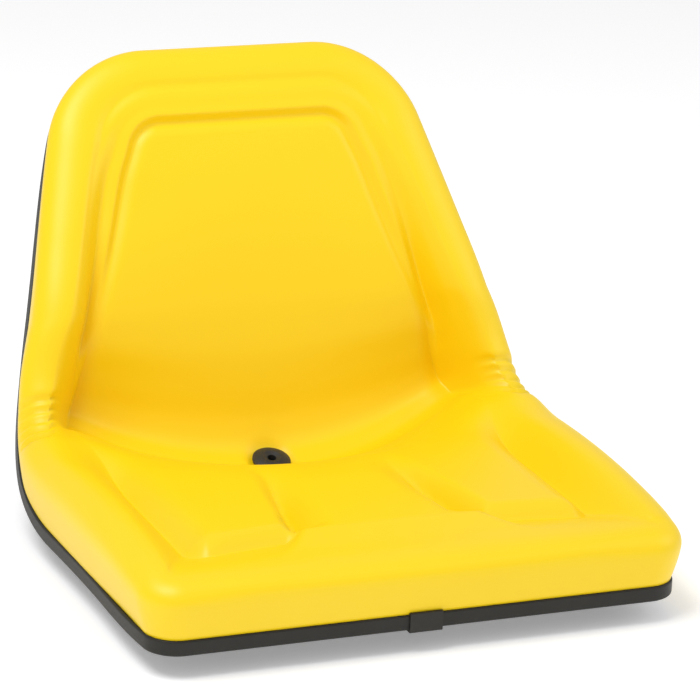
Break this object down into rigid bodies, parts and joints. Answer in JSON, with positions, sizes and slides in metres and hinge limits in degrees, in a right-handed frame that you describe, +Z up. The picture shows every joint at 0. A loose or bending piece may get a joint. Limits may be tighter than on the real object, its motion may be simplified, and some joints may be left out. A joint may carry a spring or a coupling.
{
  "type": "tractor seat",
  "caption": "Moulded bucket seat for a small tractor: a yellow vinyl cushion with thigh pads and a raised back on a pressed steel pan, with push-on edge trim and a drain grommet.",
  "frame": {"origin": "centre of the four mounting nuts, on the underside of the pan's flat floor", "axes": "+X to the right of someone who faces the seat, -Y towards the front edge, +Z up"},
  "size_m": [0.4868, 0.5416, 0.3731],
  "materials": {
    "pan_paint": "black baked paint, satin",
    "cushion_vinyl": "yellow moulded vinyl skin, fine grain, satin",
    "trim_vinyl": "charcoal extruded vinyl, satin",
    "clip_plastic": "charcoal moulded plastic, matt",
    "grommet_rubber": "dark grey moulded rubber, matt",
    "nut_steel": "zinc plated steel"
  },
  "bodies": {
    "root": {"seat_pan": "pan_paint", "seat_cushion": "cushion_vinyl", "edge_trim": "trim_vinyl", "trim_joint_clip": "clip_plastic", "drain_grommet": "grommet_rubber", "mount_nuts": "nut_steel"}
  },
  "joints": []
}
